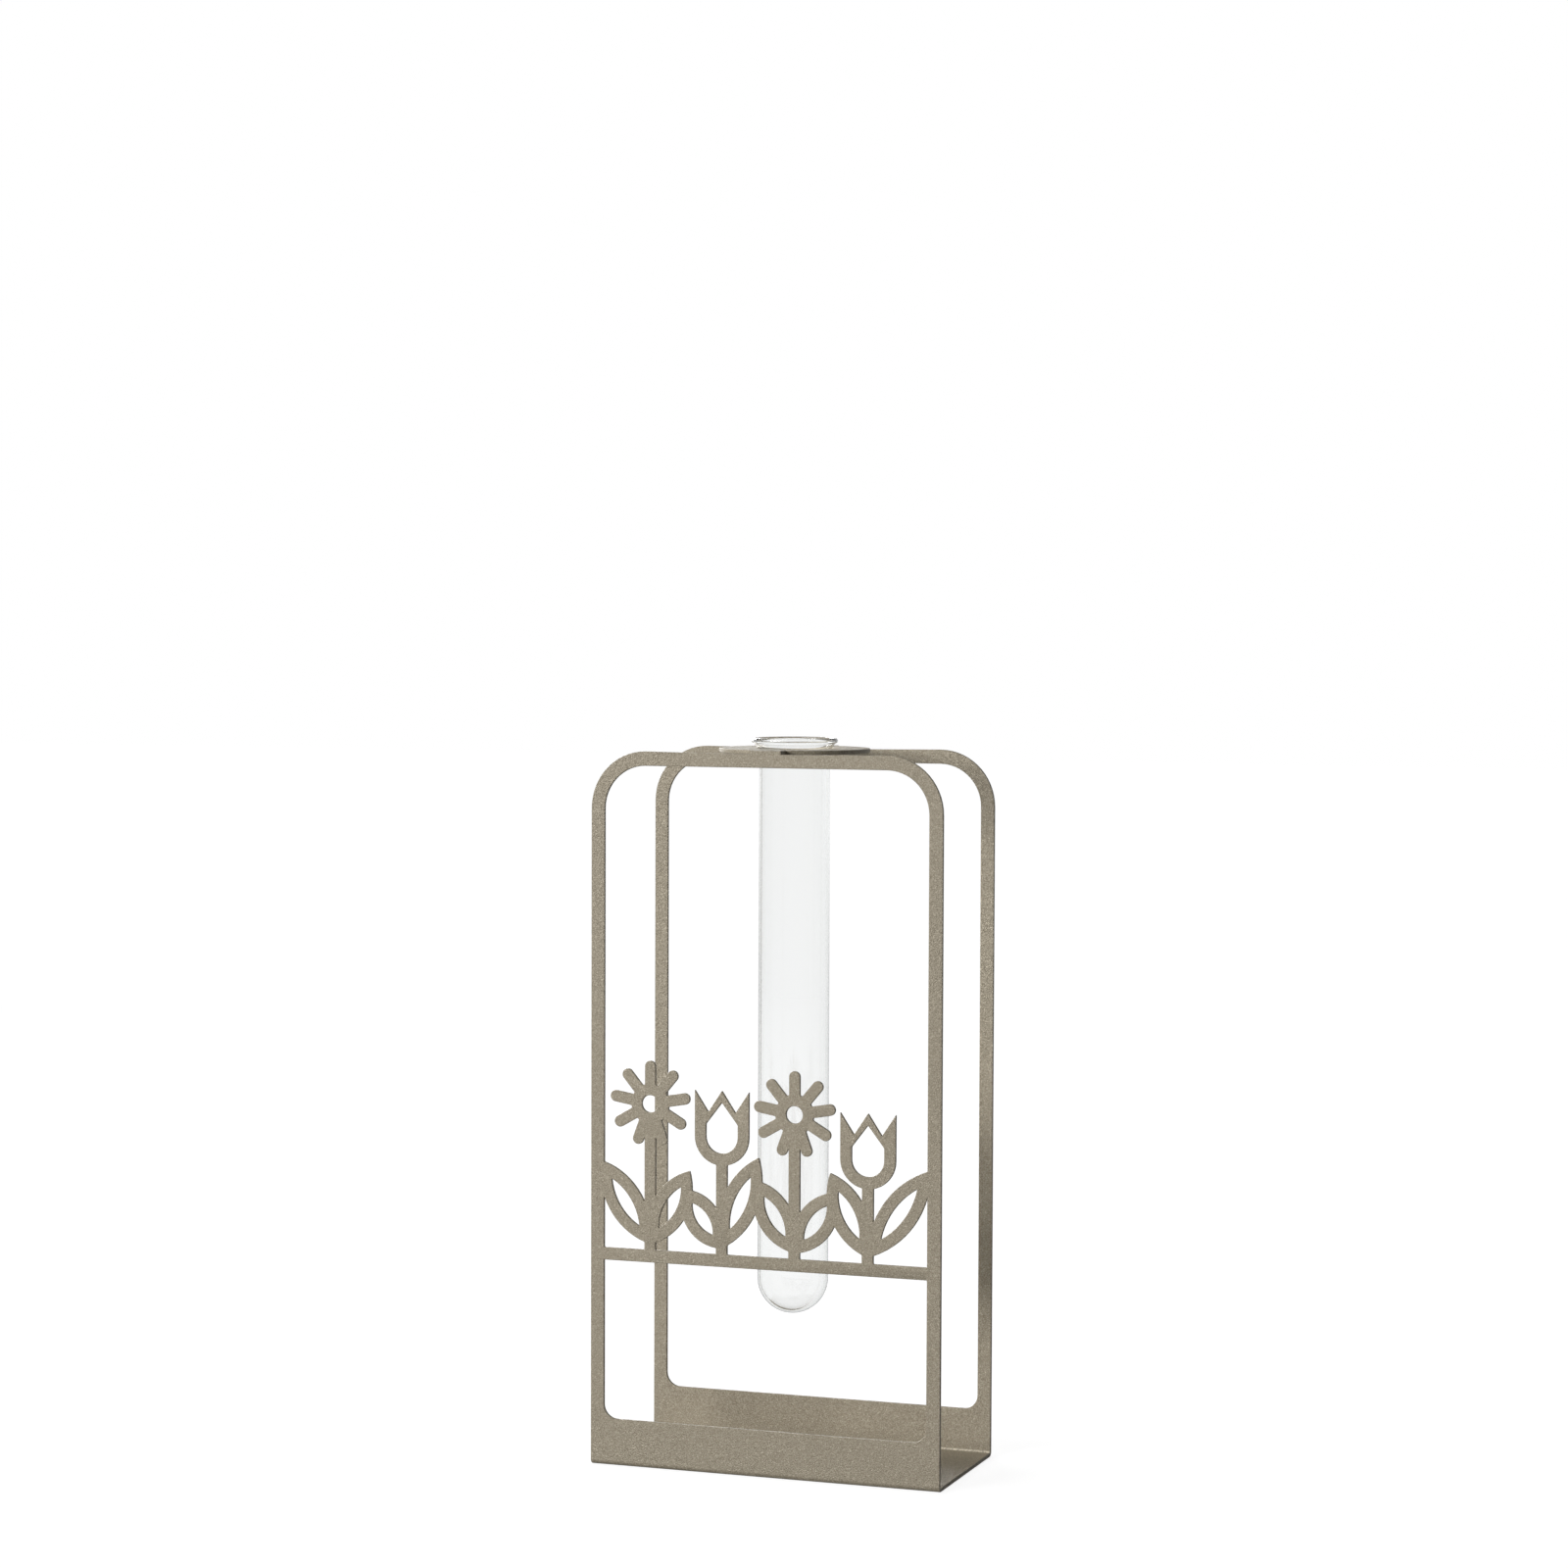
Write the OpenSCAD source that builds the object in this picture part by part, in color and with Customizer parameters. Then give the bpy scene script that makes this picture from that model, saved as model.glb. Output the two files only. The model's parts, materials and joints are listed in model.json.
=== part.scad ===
// Bud vase: a glass test tube that hangs in a stand of bent, laser-cut sheet steel.
// Millimetres. The origin is on the table, at the middle of the stand's footprint.
// +Z is up, +X is to the right of someone who faces the ornament, which is on the -Y side.

/* [Stand] */
// Width of both panels
stand_w = 128; // [110:1:150]
// Depth over the outer faces of both panels
stand_d = 61.4; // [52:0.2:80]
// Height of both panels
stand_h = 250; // [230:1:280]
// Thickness of the steel sheet
sheet_t = 1.2; // [1:0.1:2]
// Width of the stiles and of the top bars
bar_w = 5; // [4:0.1:7]
// Height of the bottom rails, which stiffen the bends
rail_h = 16.5; // [12:0.5:22]
// Outer radius of the top corners
corner_r = 20; // [12:0.5:28]
// Radius of the lower corners of the windows
window_r = 5; // [2:0.5:8]
// Inside radius of the two bends
bend_r = 0.6; // [0.5:0.1:3]

/* [Ornament] */
// Height of the crossbar's underside above the table
crossbar_z = 72.3; // [60:0.5:85]
// Width of the crossbar
crossbar_h = 4.4; // [3:0.1:6]
// Height of the tallest flower above the crossbar
meadow_h = 66; // [60:1:80]
// Width of the stems and of the leaves' and tulips' outlines
stroke_w = 4.2; // [3.2:0.1:5]
// Diameter of the daisies
daisy_d = 30; // [26:0.5:34]
// Diameter of a daisy's eye
eye_d = 14; // [12:0.5:16]
// Diameter of the hole in a daisy's eye
eye_hole_d = 6; // [4:0.5:7]
// Width of a daisy's petals
petal_w = 4; // [3:0.1:4.6]
// Number of petals on a daisy
petals = 9; // [7:1:10]
// Width of the tulips
tulip_w = 20; // [17:0.5:24]
// Height of the tulips
tulip_h = 26; // [23:0.5:30]
// Depth of the two notches between a tulip's three points
notch_h = 7.5; // [5:0.5:9]
// Width of the leaves
leaf_w = 13; // [11:0.2:15]

/* [Holder plate] */
// Thickness of the holder plate
plate_t = 1.5; // [1:0.1:2]
// Air between the round plate and each panel
plate_gap = 3.15; // [1.5:0.05:5]
// Width of the two tongues that lie on the top bars
tongue_w = 11.8; // [8:0.2:16]
// Depth of the seats cut in the top bars
seat_depth = 0.6; // [0.4:0.1:1.2]
// Open seat on each side of a tongue
seat_gap = 3.8; // [2:0.1:6]

/* [Glass tube] */
// Outside diameter of the tube
tube_d = 24.8; // [22:0.1:27]
// Thickness of the glass
glass_t = 1.2; // [0.8:0.1:1.6]
// Length of the tube over its lip
tube_len = 202; // [170:1:210]
// How far the lip stands out beyond the wall
lip_out = 2.7; // [1.8:0.1:3.2]
// Thickness of the bead on the lip
bead_d = 1.8; // [1.6:0.1:2.4]
// Outer radius of the curve by which the wall opens out to the lip
flare_r = 8; // [6:0.5:12]
// Height of the bead's middle above the holder plate
lip_rise = 2.6; // [2:0.1:3.4]
// Air between the glass and the edge of the hole that carries it
hole_clear = 0.25; // [0.15:0.05:0.5]

/* [Hidden] */
$fn = 96;
// Overrun of every cut, and of every join into its neighbour
over = 1;

// Colours
coat_colour = [0.61, 0.58, 0.51];
glass_colour = [0.85, 0.92, 0.92, 0.4];

// Places in the stand
panel_y = stand_d / 2;
stile_x = stand_w / 2 - bar_w;
crossbar_top = crossbar_z + crossbar_h;

// Places of the holder plate
seat_z = stand_h - seat_depth;
seat_w = tongue_w + 2 * seat_gap;
plate_top = seat_z + plate_t;
plate_r = panel_y - sheet_t - plate_gap;

// Places of the tube: the lip's wall is an arc band round (flare_x, flare_z), with the bead at its end
tube_r = tube_d / 2;
flare_x = tube_r + flare_r;
bead_x = tube_r + lip_out - bead_d / 2;
bead_z = plate_top + lip_rise;
flare_z = bead_z - sqrt(pow(flare_r + glass_t / 2, 2) - pow(flare_x - bead_x, 2));
tube_base_z = bead_z + bead_d / 2 - tube_len + tube_r;
hole_r = flare_x - sqrt(pow(flare_r, 2) - pow(plate_top - flare_z, 2)) + hole_clear;

// Places in the ornament are shares: across, of the window's half width, and up, of the meadow's height.
// A flower is [across, up], the place of its top, and its stem goes straight down to the crossbar
daisy_shares = [[-0.71, 1], [0.19, 0.98]];
tulip_shares = [[-0.26, 0.86], [0.64, 0.78]];
// A leaf is [across at its foot, across at its tip, up at its tip], and its foot is on a stem
leaf_shares = [
    [-0.71, -1.02, 0.46], [-0.71, -0.46, 0.43], [-0.26, -0.5, 0.33], [-0.26, -0.03, 0.52],
    [0.19, -0.05, 0.4], [0.19, 0.45, 0.36], [0.64, 0.41, 0.46], [0.64, 1.02, 0.5]
];
// How far the leaves' feet are up their stems
foot_share = 0.03;

// A point in the ornament, from its shares
function spot(across, up) = [across * stile_x, crossbar_top + up * meadow_h];

// A rectangle that stands on the base line, with its lower and its upper corners rounded
module plaque(w, h, low_r, high_r) {
    translate([-w / 2, low_r]) square([w, h - low_r - high_r]);
    translate([-w / 2 + low_r, 0]) square([w - 2 * low_r, h / 2]);
    translate([-w / 2 + high_r, h / 2]) square([w - 2 * high_r, h / 2]);
    for (side = [-1, 1]) {
        translate([side * (w / 2 - low_r), low_r]) circle(low_r);
        translate([side * (w / 2 - high_r), h - high_r]) circle(high_r);
    }
}

// A flat shape of the front view, drawn X across and Z up, made solid from one depth to another
module upright(front_y, back_y) {
    translate([0, back_y, 0]) rotate([90, 0, 0]) linear_extrude(back_y - front_y) children();
}

// An almond along X: what two equal discs share
module almond(r, apart) {
    intersection() {
        translate([0, apart]) circle(r);
        translate([0, -apart]) circle(r);
    }
}

// An open leaf from its foot to its tip
module leaf(foot, tip) {
    run = tip - foot;
    side_r = (pow(norm(run), 2) / 4 + pow(leaf_w / 2, 2)) / leaf_w;
    translate((foot + tip) / 2) rotate(atan2(run[1], run[0])) difference() {
        almond(side_r, side_r - leaf_w / 2);
        almond(side_r - stroke_w, side_r - leaf_w / 2);
    }
}

// A stem, from inside the crossbar straight up to a flower
module stem(top) {
    foot_z = crossbar_top - crossbar_h / 2;
    translate([top[0] - stroke_w / 2, foot_z]) square([stroke_w, top[1] - foot_z]);
}

// A daisy round its own middle: round-ended petals and an eye with a hole
module daisy() {
    reach = (daisy_d - petal_w) / 2;
    difference() {
        union() {
            circle(eye_d / 2);
            for (i = [0:petals - 1]) rotate(90 + i * 360 / petals) {
                translate([0, -petal_w / 2]) square([reach, petal_w]);
                translate([reach, 0]) circle(petal_w / 2);
            }
        }
        circle(eye_hole_d / 2);
    }
}

// An open tulip on its foot: a round cup with three points
module tulip() {
    cup_r = tulip_w / 2;
    hollow_r = cup_r - stroke_w;
    hollow_top = tulip_h - notch_h - stroke_w;
    difference() {
        union() {
            translate([0, cup_r]) circle(cup_r);
            translate([-cup_r, cup_r]) square([tulip_w, tulip_h - cup_r]);
        }
        for (side = [-1, 1]) translate([side * cup_r / 2, tulip_h]) {
            polygon([[0, -notch_h], [cup_r / 2, 0], [0, over], [-cup_r / 2, 0]]);
        }
        translate([0, cup_r]) circle(hollow_r);
        translate([-hollow_r, cup_r]) square([2 * hollow_r, hollow_top - cup_r]);
        translate([0, hollow_top]) polygon([[-hollow_r, 0], [hollow_r, 0], [0, notch_h]]);
    }
}

// The crossbar and the meadow that stands on it, as a flat shape
module ornament() {
    translate([-stile_x - over, crossbar_z]) square([2 * (stile_x + over), crossbar_h]);
    for (share = daisy_shares) {
        middle = spot(share[0], share[1]) - [0, daisy_d / 2];
        translate(middle) daisy();
        stem(middle - [0, (eye_d + eye_hole_d) / 4]);
    }
    for (share = tulip_shares) {
        foot = spot(share[0], share[1]) - [0, tulip_h];
        translate(foot) tulip();
        stem(foot + [0, stroke_w / 2]);
    }
    for (share = leaf_shares) leaf(spot(share[0], foot_share), spot(share[1], share[2]));
}

// The seat for a tongue: a shallow slot in the upper edge of a top bar, with round ends
module seat() {
    translate([-seat_w / 2 + seat_depth, seat_z]) square([seat_w - 2 * seat_depth, seat_depth + over]);
    for (side = [-1, 1]) translate([side * (seat_w / 2 - seat_depth), stand_h]) circle(seat_depth);
}

// The plain folded sheet: a U seen from the side, with round corners seen from the front
module folded_sheet() {
    intersection() {
        rotate([90, 0, 90]) linear_extrude(stand_w, center = true) difference() {
            plaque(stand_d, stand_h, bend_r + sheet_t, 0);
            translate([0, sheet_t]) plaque(stand_d - 2 * sheet_t, stand_h, bend_r, 0);
        }
        upright(-panel_y - over, panel_y + over) plaque(stand_w, stand_h, 0, corner_r);
    }
}

// The stand: one sheet with both windows, the seats and the ornament cut, then bent twice
module bent_stand() {
    color(coat_colour) {
        difference() {
            folded_sheet();
            upright(-panel_y - over, panel_y + over) {
                translate([0, rail_h]) plaque(2 * stile_x, stand_h - bar_w - rail_h, window_r, corner_r - bar_w);
                seat();
            }
        }
        upright(-panel_y, -panel_y + sheet_t) ornament();
    }
}

// The holder plate: round, with a hole for the tube and two tongues that lie in the seats
module holder_plate() {
    color(coat_colour) translate([0, 0, seat_z]) difference() {
        union() {
            cylinder(r = plate_r, h = plate_t);
            translate([-tongue_w / 2, -panel_y, 0]) cube([tongue_w, stand_d, plate_t]);
        }
        translate([0, 0, -over]) cylinder(r = hole_r, h = plate_t + 2 * over);
    }
}

// Half of the section of the tube's lip: an arc band that ends in the bead
module lip_section() {
    intersection() {
        translate([flare_x, flare_z]) difference() {
            circle(flare_r + glass_t);
            circle(flare_r);
        }
        translate([0, flare_z]) square([tube_r + lip_out, bead_z - flare_z]);
    }
    translate([bead_x, bead_z]) circle(bead_d / 2);
}

// A round-bottomed rod on the tube's axis, up to where the wall starts to open out
module round_rod(r) {
    translate([0, 0, tube_base_z]) {
        sphere(r);
        cylinder(r = r, h = flare_z - tube_base_z);
    }
}

// The test tube: round bottom, straight wall and beaded lip
module glass_tube() {
    color(glass_colour) {
        difference() {
            round_rod(tube_r);
            round_rod(tube_r - glass_t);
        }
        rotate_extrude() lip_section();
    }
}

bent_stand();
holder_plate();
glass_tube();
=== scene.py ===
# %% [markdown]
# A bud vase. A glass test tube hangs by its lip in a small round plate, and the plate lies across
# the tops of two tall open panels. The panels, the base between them and the cut-out meadow are
# one sheet of steel, cut by laser, folded twice and powder coated.
# The solids come packed from the CAD part, as a frame that stays where it is. This lesson dresses
# them: it rounds the coated edges, blows the glass, mixes the finishes and sets up a small white
# studio. Everything is in metres, with Z up and the origin on the table under the vase's middle.

# %% Load the solids
import json
import math

import bmesh
import bpy
from mathutils import Matrix, Vector

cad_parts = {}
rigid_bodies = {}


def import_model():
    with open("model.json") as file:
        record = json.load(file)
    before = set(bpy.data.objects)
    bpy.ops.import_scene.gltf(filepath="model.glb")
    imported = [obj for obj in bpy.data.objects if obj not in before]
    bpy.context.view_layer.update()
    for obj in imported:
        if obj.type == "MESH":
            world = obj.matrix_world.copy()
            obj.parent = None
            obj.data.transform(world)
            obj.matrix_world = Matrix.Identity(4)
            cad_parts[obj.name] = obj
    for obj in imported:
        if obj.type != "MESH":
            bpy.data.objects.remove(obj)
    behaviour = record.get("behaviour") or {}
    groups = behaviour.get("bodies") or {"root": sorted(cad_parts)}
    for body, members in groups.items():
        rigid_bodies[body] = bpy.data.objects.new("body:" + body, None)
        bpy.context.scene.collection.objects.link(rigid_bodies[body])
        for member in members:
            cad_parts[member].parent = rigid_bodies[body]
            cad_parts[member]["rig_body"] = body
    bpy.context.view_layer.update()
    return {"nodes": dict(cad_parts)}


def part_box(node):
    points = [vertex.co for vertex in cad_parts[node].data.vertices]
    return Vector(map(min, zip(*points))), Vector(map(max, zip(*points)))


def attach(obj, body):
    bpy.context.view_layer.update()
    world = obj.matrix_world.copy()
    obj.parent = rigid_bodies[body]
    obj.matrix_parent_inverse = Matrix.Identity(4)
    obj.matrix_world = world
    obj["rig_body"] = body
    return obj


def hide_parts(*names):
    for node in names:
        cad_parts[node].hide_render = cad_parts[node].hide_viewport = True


MM = 0.001

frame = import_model()

# %% [markdown]
# The camera stands where the photographer's stood: to the right of the vase, a little above it and
# far off, with a long lens, so that upright lines stay nearly parallel. Its place and turn were
# worked out from the outlines of the stand. A camera looks along its own -Z, so three axes give
# its turn.

# %% Set up the camera
YAW, PITCH, ROLL = math.radians(-19.6882), math.radians(-2.6289), math.radians(0.2108)
CAMERA_AT = Vector((448.5, -1264.45, 299.86)) * MM
PHOTO_SIDE = 1600
FOCAL_IN_PIXELS = 3923.0
SENSOR_WIDTH = 36

level = math.cos(PITCH)
ahead = Vector((math.sin(YAW) * level, math.cos(YAW) * level, math.sin(PITCH)))
level_right = Vector((math.cos(YAW), -math.sin(YAW), 0))
level_up = level_right.cross(ahead)
right = math.cos(ROLL) * level_right + math.sin(ROLL) * level_up
up = right.cross(ahead)

camera_data = bpy.data.cameras.new("camera")
camera_data.sensor_width = SENSOR_WIDTH
camera_data.lens = FOCAL_IN_PIXELS * SENSOR_WIDTH / PHOTO_SIDE
camera = bpy.data.objects.new("camera", camera_data)
turn = Matrix((right, up, -ahead)).transposed().to_4x4()
camera.matrix_world = Matrix.Translation(CAMERA_AT) @ turn
bpy.context.scene.collection.objects.link(camera)
bpy.context.scene.camera = camera
bpy.context.scene.view_settings.view_transform = "Standard"
print("lens", round(camera_data.lens, 2), "mm")

# %% [markdown]
# Blender's tools act on what is selected. These helpers put one object in hand, turn edit mode on
# and off, and drop every selection before a new primitive comes in. The last one measures a
# finished piece, and counts the edges at which it isn't closed.


# %% Helpers for working on one object
def put_all_down():
    bpy.ops.object.select_all(action="DESELECT")


def take(piece):
    put_all_down()
    piece.select_set(True)
    bpy.context.view_layer.objects.active = piece


def edit(piece):
    take(piece)
    bpy.ops.object.mode_set(mode="EDIT")
    bpy.ops.mesh.select_all(action="SELECT")


def leave():
    bpy.ops.object.mode_set(mode="OBJECT")


def measure(piece):
    mesh = bmesh.new()
    mesh.from_mesh(piece.data)
    open_edges = sum(not e.is_manifold for e in mesh.edges)
    volume = mesh.calc_volume() / MM ** 3
    print(f"{piece.name}: {len(mesh.faces)} faces, {open_edges} open edges, {volume:.0f} mm3")
    mesh.free()


# %% [markdown]
# Powder is baked on to the steel as a skin about a tenth of a millimetre thick. It flows over the
# sharp laser-cut edges and rounds them, and those small rounds are what catch the light along
# every rail. They could be painted with a Bevel shader node, but a true round is there from every
# side and in the mesh itself. So a copy of each solid is merged, its flat faces are joined,
# and a Bevel modifier rounds it. The patch mitre keeps the round clean in the narrow notches
# between petals and stems.

# %% Round the coated edges of a solid
COAT_ROUND = 0.25 * MM
COAT_STEPS = 2
SHARP = math.radians(32)
NEARLY_FLAT = math.radians(0.5)
SAME_POINT = 0.01 * MM
TOO_SHORT = 0.12 * MM


def coated(node, name):
    source = frame["nodes"][node]
    piece = bpy.data.objects.new(name, source.data.copy())
    bpy.context.scene.collection.objects.link(piece)
    edit(piece)
    bpy.ops.mesh.remove_doubles(threshold=SAME_POINT)
    bpy.ops.mesh.dissolve_limited(angle_limit=NEARLY_FLAT)
    bpy.ops.mesh.select_all(action="SELECT")
    bpy.ops.mesh.dissolve_degenerate(threshold=TOO_SHORT)
    leave()
    rounds = piece.modifiers.new("coat rounds", "BEVEL")
    rounds.width = COAT_ROUND
    rounds.segments = COAT_STEPS
    rounds.limit_method = "ANGLE"
    rounds.angle_limit = SHARP
    rounds.use_clamp_overlap = False
    rounds.miter_outer = "MITER_PATCH"
    rounds.harden_normals = True
    bpy.ops.object.shade_smooth_by_angle(angle=SHARP)
    bpy.ops.object.modifier_apply(modifier=rounds.name)
    measure(piece)
    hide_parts(node)
    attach(piece, source["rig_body"])
    return piece


stand = coated("bent_stand", "folded_stand")
plate = coated("holder_plate", "round_plate")

# %% [markdown]
# The test tube is drawn from glass pipe: the bottom is blown round, and the mouth is softened in
# the flame, flared and melted back into a small bead. A glassblower turns it all the time, so it is
# round everywhere, and half of its section says all there is to say. The flare's curve has its
# centre outside the tube, and its place follows from where the bead sits.

# %% Sizes of the tube
TUBE_R = 12.4 * MM
WALL = 1.2 * MM
FLARE_R = 8 * MM
LIP_OUT = 2.7 * MM
BEAD_R = 0.9 * MM

tube_low, tube_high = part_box("glass_tube")
round_at = Vector((0, 0, tube_low.z + TUBE_R))
bead_at = Vector((TUBE_R + LIP_OUT - BEAD_R, 0, tube_high.z - BEAD_R))
flare_x = TUBE_R + FLARE_R
flare_drop = math.sqrt((FLARE_R + WALL / 2) ** 2 - (flare_x - bead_at.x) ** 2)
flare_at = Vector((flare_x, 0, bead_at.z - flare_drop))
print("tube from", round(tube_low.z, 4), "to", round(tube_high.z, 4))
print("flare centre", [round(c, 4) for c in flare_at])


# %% Find where the flare meets the bead
def angle_of(point, centre):
    return math.atan2(point.z - centre.z, point.x - centre.x)


def meeting(radius):
    """Where the arc of that radius round the flare's centre runs into the bead."""
    gap = bead_at - flare_at
    along = (gap.length ** 2 + radius ** 2 - BEAD_R ** 2) / (2 * gap.length)
    across = math.sqrt(radius ** 2 - along ** 2)
    side = Vector((gap.z, 0, -gap.x)).normalized()
    return flare_at + gap.normalized() * along - side * across


under_bead = meeting(FLARE_R)
over_bead = meeting(FLARE_R + WALL)
print("bead from", round(under_bead.z, 5), "round to", round(over_bead.z, 5))

# %% [markdown]
# The section starts as one point at the bottom: a small plane whose corners are merged. Spin
# carries the point round a centre and leaves an arc, and Extrude carries it straight up the wall.
# The same two tools take it over the lip and down the inside, where the arcs turn the other way.

# %% Put one point at the tube's bottom
put_all_down()
bpy.ops.mesh.primitive_plane_add(size=TUBE_R, location=(0, 0, tube_low.z))
tube = bpy.context.object
tube.name = tube.data.name = "test_tube"
bpy.ops.object.transform_apply(location=True)
bpy.ops.object.mode_set(mode="EDIT")
bpy.ops.mesh.select_all(action="SELECT")
bpy.ops.mesh.merge(type="CENTER")
print(tube.name, "starts as one point at z", round(tube_low.z, 4))


# %% Draw half of the tube's section
QUARTER = math.radians(90)
ROUND_STEPS, FLARE_STEPS, BEAD_STEPS = 20, 8, 24


def swing(centre, sweep, steps):
    bpy.ops.mesh.spin(steps=steps, angle=sweep, center=centre, axis=(0, 1, 0))


def climb(height):
    bpy.ops.mesh.extrude_region_move(TRANSFORM_OT_translate={"value": (0, 0, height)})


straight_wall = flare_at.z - round_at.z
bead_sweep = (angle_of(over_bead, bead_at) - angle_of(under_bead, bead_at)) % (2 * math.pi)
swing(round_at, QUARTER, ROUND_STEPS)
climb(straight_wall)
swing(flare_at, angle_of(under_bead, flare_at) - math.pi, FLARE_STEPS)
swing(bead_at, bead_sweep, BEAD_STEPS)
swing(flare_at, math.pi - angle_of(over_bead, flare_at), FLARE_STEPS)
climb(-straight_wall)
swing(round_at, -QUARTER, ROUND_STEPS)
leave()
last_point = [round(c / MM, 3) for c in tube.data.vertices[-1].co]
print("section points", len(tube.data.vertices), "last at", last_point, "mm")

# %% [markdown]
# One last Spin, all the way round the upright axis, turns the line into glass with a real wall
# thickness. A Screw modifier would do it too, but Spin is the tool already in hand. The first and
# last turns lie on each other, and so do all the points on the axis, so doubles are merged, and
# only then are the faces told which way is out.

# %% Turn the section into glass
TURNS = 128
SEAM = 0.001 * MM
SMOOTH = math.radians(50)

edit(tube)
bpy.ops.mesh.spin(steps=TURNS, angle=2 * math.pi, center=(0, 0, 0), axis=(0, 0, 1))
bpy.ops.mesh.select_all(action="SELECT")
bpy.ops.mesh.remove_doubles(threshold=SEAM)
bpy.ops.mesh.normals_make_consistent(inside=False)
leave()
bpy.ops.object.shade_smooth_by_angle(angle=SMOOTH)
measure(tube)
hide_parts("glass_tube")
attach(tube, "tube")

# %% [markdown]
# A finish is written as the colour that a camera sees in plain white light, in the 0 to 255 steps
# of a picture. Shaders count light in even steps, so the colour goes through the usual curve first.
# The nodes could be set out one by one, but the same few come back in every finish, so each gets a
# helper that makes it, links it and hands back its output.


# %% Start a finish
WHITE = (1, 1, 1, 1)


def colour(red, green, blue):
    """A picture's colour in even steps of light, by the standard curve of pictures."""
    steps = [c / 255 for c in (red, green, blue)]
    return [c / 12.92 if c <= 0.04045 else ((c + 0.055) / 1.055) ** 2.4 for c in steps] + [1]


def new_finish(name):
    finish = bpy.data.materials.new(name)
    finish.use_nodes = True
    nodes = finish.node_tree.nodes
    nodes.clear()
    output = nodes.new("ShaderNodeOutputMaterial")
    return finish, nodes, finish.node_tree.links, output


def dress(piece, finish):
    piece.data.materials.clear()
    piece.data.materials.append(finish)
    print(piece.name, "wears", finish.name, "with", len(finish.node_tree.nodes), "nodes")


# %% Helpers for patterns and ranges
FINER_LAYERS = 2


def noise(nodes, links, place, size, roughness):
    """Noise whose lumps are about size across, in metres, with finer layers of some roughness."""
    node = nodes.new("ShaderNodeTexNoise")
    node.inputs["Scale"].default_value = 1 / size
    node.inputs["Detail"].default_value = FINER_LAYERS
    node.inputs["Roughness"].default_value = roughness
    links.new(place, node.inputs["Vector"])
    return node.outputs["Fac"]


def ranged(nodes, links, value, low, high, to_low, to_high):
    """The value, carried from the range low to high over to the range to_low to to_high."""
    node = nodes.new("ShaderNodeMapRange")
    ends = {"From Min": low, "From Max": high, "To Min": to_low, "To Max": to_high}
    for name, number in ends.items():
        node.inputs[name].default_value = number
    links.new(value, node.inputs["Value"])
    return node.outputs["Result"]


# %% Helpers for mixing and sums
MIX_FIRST, MIX_SECOND, MIX_RESULT = 6, 7, 2


def feed(links, socket, value):
    """Links a node's output to the socket, or sets a plain number or colour on it."""
    if isinstance(value, bpy.types.NodeSocket):
        links.new(value, socket)
    else:
        socket.default_value = value


def blended(nodes, links, share, first, second):
    """The first colour, turning into the second as the share goes from 0 to 1.
    The sockets go by number, because this node has others of the same names for plain numbers."""
    node = nodes.new("ShaderNodeMix")
    node.data_type = "RGBA"
    links.new(share, node.inputs["Factor"])
    feed(links, node.inputs[MIX_FIRST], first)
    feed(links, node.inputs[MIX_SECOND], second)
    return node.outputs[MIX_RESULT]


def calculate(nodes, links, operation, first, second):
    node = nodes.new("ShaderNodeMath")
    node.operation = operation
    feed(links, node.inputs[0], first)
    feed(links, node.inputs[1], second)
    return node.outputs[0]


# %% [markdown]
# The coat is a champagne grey powder with a little mica in it. Close to, it is a fine sandy grain
# with darker hollows, and single flakes of mica show in it. The grain is a small noise that shades
# the colour, dulls the hollows and tilts the light as lumps a tenth of a millimetre high would. The
# flakes are the cells of a Voronoi pattern: each cell has numbers of its own, and only the few
# cells with the highest number turn pale. That pale colour is the mica's own lighter tone together
# with a painted glint.
# In the inside of the two bends a pale, speckled line is painted into the colour: it is a painted
# highlight, where the concave bends would catch the light. The distance from the line of the bend
# says where that is, and both bends share it because the absolute value of Y is the same at the
# front and at the back.

# %% Sizes and colours of the powder coat
GRAIN = 0.38 * MM
GRAIN_LIFT = 0.25 * MM
FLAKE = 0.35 * MM
CLOUD = 30 * MM
GRAIN_ROUGHNESS, CLOUD_ROUGHNESS = 0.6, 0.5
BEND_AT = (0, 29.35 * MM, 1.35 * MM)
BEND_HIGHLIGHT_FADE = (0.45 * MM, 0.9 * MM)

SANDY_DARK, SANDY_PALE = colour(121, 111, 92), colour(185, 175, 155)
CLOUD_TONE = colour(157, 147, 128)
# Mica flakes: their own lighter tone, with a painted glint.
MICA_TONE_AND_PAINTED_GLINT = colour(189, 179, 159)
# Colour of the painted highlight along the inside of the bends.
PAINTED_BEND_HIGHLIGHT = colour(228, 219, 200)

MIDDLE_PART = (0.3, 0.7)
CLOUD_SHARE = 0.25
FLAKE_RANGE = (0.92, 0.98)
FAINTEST_SPECK = 0.3
METAL_SHARE = 0.15
DULL, GLOSSY = 0.48, 0.4
print("grain", round(GRAIN / MM, 2), "mm, flakes", round(FLAKE / MM, 2), "mm")


# %% Find the inside of the bends, where a highlight is painted
def bend_highlight_mask(nodes, links, place):
    """Mask for the painted highlight: 1 along the inside of both bends, fading to 0 nearly a
    millimetre away.
    """
    apart = nodes.new("ShaderNodeSeparateXYZ")
    links.new(place, apart.inputs[0])
    folded = nodes.new("ShaderNodeCombineXYZ")
    links.new(calculate(nodes, links, "ABSOLUTE", apart.outputs["Y"], 0), folded.inputs["Y"])
    links.new(apart.outputs["Z"], folded.inputs["Z"])
    gap = nodes.new("ShaderNodeVectorMath")
    gap.operation = "DISTANCE"
    gap.inputs[1].default_value = BEND_AT
    links.new(folded.outputs[0], gap.inputs[0])
    return ranged(nodes, links, gap.outputs["Value"], *BEND_HIGHLIGHT_FADE, 1, 0)


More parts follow.
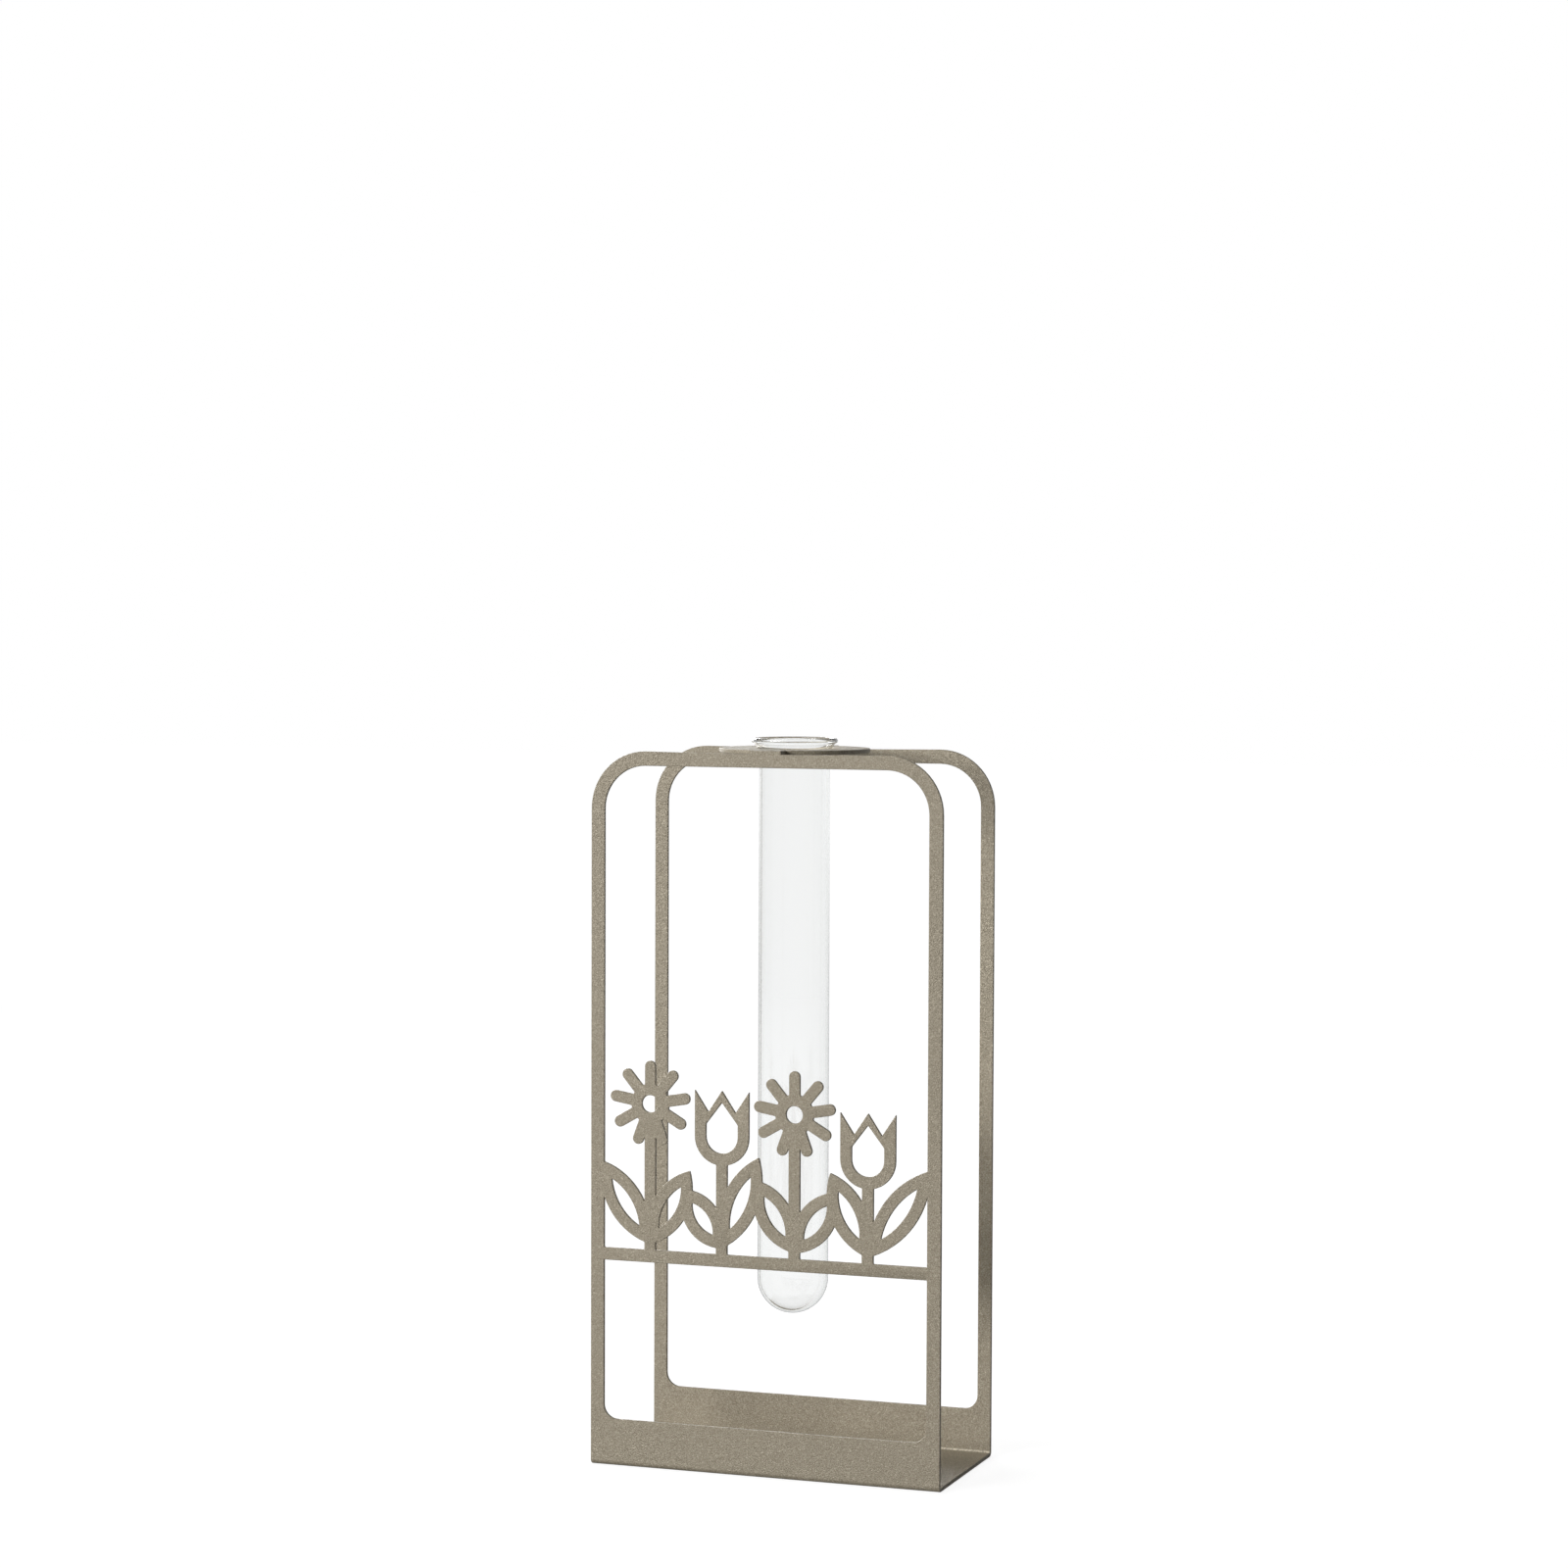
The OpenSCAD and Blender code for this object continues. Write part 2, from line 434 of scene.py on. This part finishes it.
# %% Mix the powder coat
def powder_coat(name):
    finish, nodes, links, output = new_finish(name)
    place = nodes.new("ShaderNodeTexCoord").outputs["Object"]
    coat = nodes.new("ShaderNodeBsdfPrincipled")
    coat.inputs["Metallic"].default_value = METAL_SHARE

    grain = noise(nodes, links, place, GRAIN, GRAIN_ROUGHNESS)
    crests = ranged(nodes, links, grain, *MIDDLE_PART, 0, 1)
    sandy = blended(nodes, links, crests, SANDY_DARK, SANDY_PALE)
    clouds = noise(nodes, links, place, CLOUD, CLOUD_ROUGHNESS)
    clouded = ranged(nodes, links, clouds, *MIDDLE_PART, 0, CLOUD_SHARE)
    toned = blended(nodes, links, clouded, sandy, CLOUD_TONE)

    flakes = nodes.new("ShaderNodeTexVoronoi")
    flakes.inputs["Scale"].default_value = 1 / FLAKE
    links.new(place, flakes.inputs["Vector"])
    number = nodes.new("ShaderNodeSeparateColor")
    links.new(flakes.outputs["Color"], number.inputs["Color"])
    # Pale flakes: the mica's lighter tone, with its glint painted into the colour.
    mica_and_glint_share = ranged(nodes, links, number.outputs["Red"], *FLAKE_RANGE, 0, 1)
    flaked = blended(nodes, links, mica_and_glint_share, toned, MICA_TONE_AND_PAINTED_GLINT)
    specks = ranged(nodes, links, number.outputs["Green"], *MIDDLE_PART, FAINTEST_SPECK, 1)
    # The pale speckled line in the bends is a painted highlight.
    line = calculate(nodes, links, "MULTIPLY", bend_highlight_mask(nodes, links, place), specks)
    links.new(blended(nodes, links, line, flaked, PAINTED_BEND_HIGHLIGHT), coat.inputs["Base Color"])

    rough = ranged(nodes, links, grain, *MIDDLE_PART, DULL, GLOSSY)
    links.new(rough, coat.inputs["Roughness"])
    lift = nodes.new("ShaderNodeBump")
    lift.inputs["Strength"].default_value = 1
    lift.inputs["Distance"].default_value = GRAIN_LIFT
    links.new(grain, lift.inputs["Height"])
    links.new(lift.outputs["Normal"], coat.inputs["Normal"])
    links.new(coat.outputs["BSDF"], output.inputs["Surface"])
    return finish


coat_finish = powder_coat("champagne_powder_coat")
dress(stand, coat_finish)
dress(plate, coat_finish)

# %% [markdown]
# Clear glass is a surface that bends light, and it also takes a little out of it: seen through the
# thin wall it is colourless, and along the edges, where the light travels inside the wall, it turns
# grey green. An absorbing volume gives that by itself. Lamps shine through a thin wall almost
# untouched, so for rays that look for a lamp the glass is left out, or the plate behind it would
# sit in the dark.

# %% Make the glass
GLASS_IOR = 1.48
TINT = (0.53, 0.58, 0.565, 1)
TINT_DENSITY = 80


def bending_glass(name):
    finish, nodes, links, output = new_finish(name)
    glass = nodes.new("ShaderNodeBsdfPrincipled")
    glass.inputs["Base Color"].default_value = WHITE
    glass.inputs["Roughness"].default_value = 0
    glass.inputs["IOR"].default_value = GLASS_IOR
    glass.inputs["Transmission Weight"].default_value = 1
    no_glass = nodes.new("ShaderNodeBsdfTransparent")
    which = nodes.new("ShaderNodeMixShader")
    path = nodes.new("ShaderNodeLightPath")
    links.new(path.outputs["Is Shadow Ray"], which.inputs["Fac"])
    links.new(glass.outputs["BSDF"], which.inputs[1])
    links.new(no_glass.outputs["BSDF"], which.inputs[2])
    links.new(which.outputs["Shader"], output.inputs["Surface"])

    tint = nodes.new("ShaderNodeVolumeAbsorption")
    tint.inputs["Color"].default_value = TINT
    tint.inputs["Density"].default_value = TINT_DENSITY
    links.new(tint.outputs["Volume"], output.inputs["Volume"])
    return finish


dress(tube, bending_glass("clear_glass"))

# %% [markdown]
# The studio is a white table that runs out into a white room. Both are white to the camera and
# through the glass, and nearly dark to soft light, so that the vase isn't washed out from below and
# its cut edges keep their depth. What the coat mirrors is white low down behind the vase, as a
# backdrop is, and dim in front of it, where a studio is dark. Near the vase the table keeps some of
# its own shading, and with it the soft shadow. Further out that shading fades, and its own light
# takes over, so the white is even.

# %% Lay the table
TABLE_SIDE = 12
TABLE_Z = -0.1 * MM

put_all_down()
bpy.ops.mesh.primitive_plane_add(size=TABLE_SIDE, location=(0, 0, TABLE_Z))
table = bpy.context.object
table.name = "table_top"
print(table.name, TABLE_SIDE, "m wide")


# %% Say which rays see the studio white
def seen_rays(nodes, links, mirrored):
    """1 for rays from the camera and through glass, a share for mirrored ones, 0 for the rest."""
    path = nodes.new("ShaderNodeLightPath").outputs
    straight = calculate(
        nodes, links, "MAXIMUM", path["Is Camera Ray"], path["Is Transmission Ray"]
    )
    dimmed = calculate(nodes, links, "MULTIPLY", path["Is Glossy Ray"], mirrored)
    return calculate(nodes, links, "MAXIMUM", straight, dimmed)


# %% Make the table white
SHADING_FADES = (0.6, 1.6)
SHADING = 0.25
WHITE_NEAR, WHITE_FAR = 0.88, 1.01
BACKDROP_STARTS = (0.6, 3)
MIRRORED_IN_FRONT = 0.15


def white_cloth(name):
    finish, nodes, links, output = new_finish(name)
    place = nodes.new("ShaderNodeTexCoord").outputs["Object"]
    length = nodes.new("ShaderNodeVectorMath")
    length.operation = "LENGTH"
    links.new(place, length.inputs[0])
    away = length.outputs["Value"]
    sides = nodes.new("ShaderNodeSeparateXYZ")
    links.new(place, sides.inputs[0])

    cloth = nodes.new("ShaderNodeBsdfDiffuse")
    links.new(ranged(nodes, links, away, *SHADING_FADES, SHADING, 0), cloth.inputs["Color"])
    behind = sides.outputs["Y"]
    mirrored = ranged(nodes, links, behind, *BACKDROP_STARTS, MIRRORED_IN_FRONT, 1)
    whiteness = ranged(nodes, links, away, *SHADING_FADES, WHITE_NEAR, WHITE_FAR)
    level = calculate(nodes, links, "MULTIPLY", whiteness, seen_rays(nodes, links, mirrored))
    shine = nodes.new("ShaderNodeEmission")
    links.new(level, shine.inputs["Strength"])
    both = nodes.new("ShaderNodeAddShader")
    links.new(cloth.outputs["BSDF"], both.inputs[0])
    links.new(shine.outputs["Emission"], both.inputs[1])
    links.new(both.outputs["Shader"], output.inputs["Surface"])
    return finish


table.data.materials.append(white_cloth("white_table"))
print("the table's own shading fades from", SHADING_FADES[0], "to", SHADING_FADES[1], "m out")

# %% Paint the room
ROOM_LIGHT = 0.06
BACK_WALL = (0, 0.6)
WALL_FADES = (0.1, 0.7)

world = bpy.data.worlds.new("white_room")
bpy.context.scene.world = world
world.use_nodes = True
nodes, links = world.node_tree.nodes, world.node_tree.links
nodes.clear()
toward = nodes.new("ShaderNodeSeparateXYZ")
links.new(nodes.new("ShaderNodeTexCoord").outputs["Generated"], toward.inputs[0])
behind = ranged(nodes, links, toward.outputs["Y"], *BACK_WALL, MIRRORED_IN_FRONT, 1)
low_down = ranged(nodes, links, toward.outputs["Z"], *WALL_FADES, 1, 0)
mirrored = calculate(nodes, links, "MULTIPLY", behind, low_down)
strength = ranged(nodes, links, seen_rays(nodes, links, mirrored), 0, 1, ROOM_LIGHT, 1)
air = nodes.new("ShaderNodeBackground")
air.inputs["Color"].default_value = WHITE
links.new(strength, air.inputs["Strength"])
links.new(air.outputs["Background"], nodes.new("ShaderNodeOutputWorld").inputs["Surface"])
print("the room's soft light is", ROOM_LIGHT, "of full white")

# %% [markdown]
# Three lamps do the rest. A broad low one at the left of the camera gives the panels most of their
# light, and leaves the base between the rails in shade. One high up at the left softens that shade
# and lights the plate and the rails' upper edges, and a weaker one behind at the left lights the
# backs and lifts the plate's top. Nothing shines from the right, so the cut edges on that side stay
# dark. Each lamp is given by the share of full white that it puts on a surface facing it, and its
# power follows from its distance. The lamps themselves don't show, neither straight nor through
# the glass.

# %% Hang the lamps
LAMPS_AIM = Vector((0, 0, 0.12))


def lamp(name, azimuth, elevation, distance, width, height, share):
    """A lamp that faces the vase, so many degrees round from the front to the right, and up."""
    a, e = math.radians(azimuth), math.radians(elevation)
    toward = Vector((math.sin(a) * math.cos(e), -math.cos(a) * math.cos(e), math.sin(e)))
    data = bpy.data.lights.new(name, "AREA")
    data.shape = "RECTANGLE"
    data.size, data.size_y = width, height
    data.energy = share * math.pi ** 2 * distance ** 2
    light = bpy.data.objects.new(name, data)
    light.visible_camera = light.visible_transmission = False
    light.location = toward * distance + LAMPS_AIM
    light.rotation_euler = toward.to_track_quat("Z", "Y").to_euler()
    bpy.context.scene.collection.objects.link(light)
    print(name, round(data.energy, 1), "W")


lamp("key_lamp", -35, 15, distance=3.2, width=1.6, height=1.1, share=0.92)
lamp("top_lamp", -90, 68, distance=1.8, width=0.7, height=0.7, share=0.25)
lamp("back_lamp", -140, 15, distance=2.8, width=1.6, height=1.2, share=0.6)
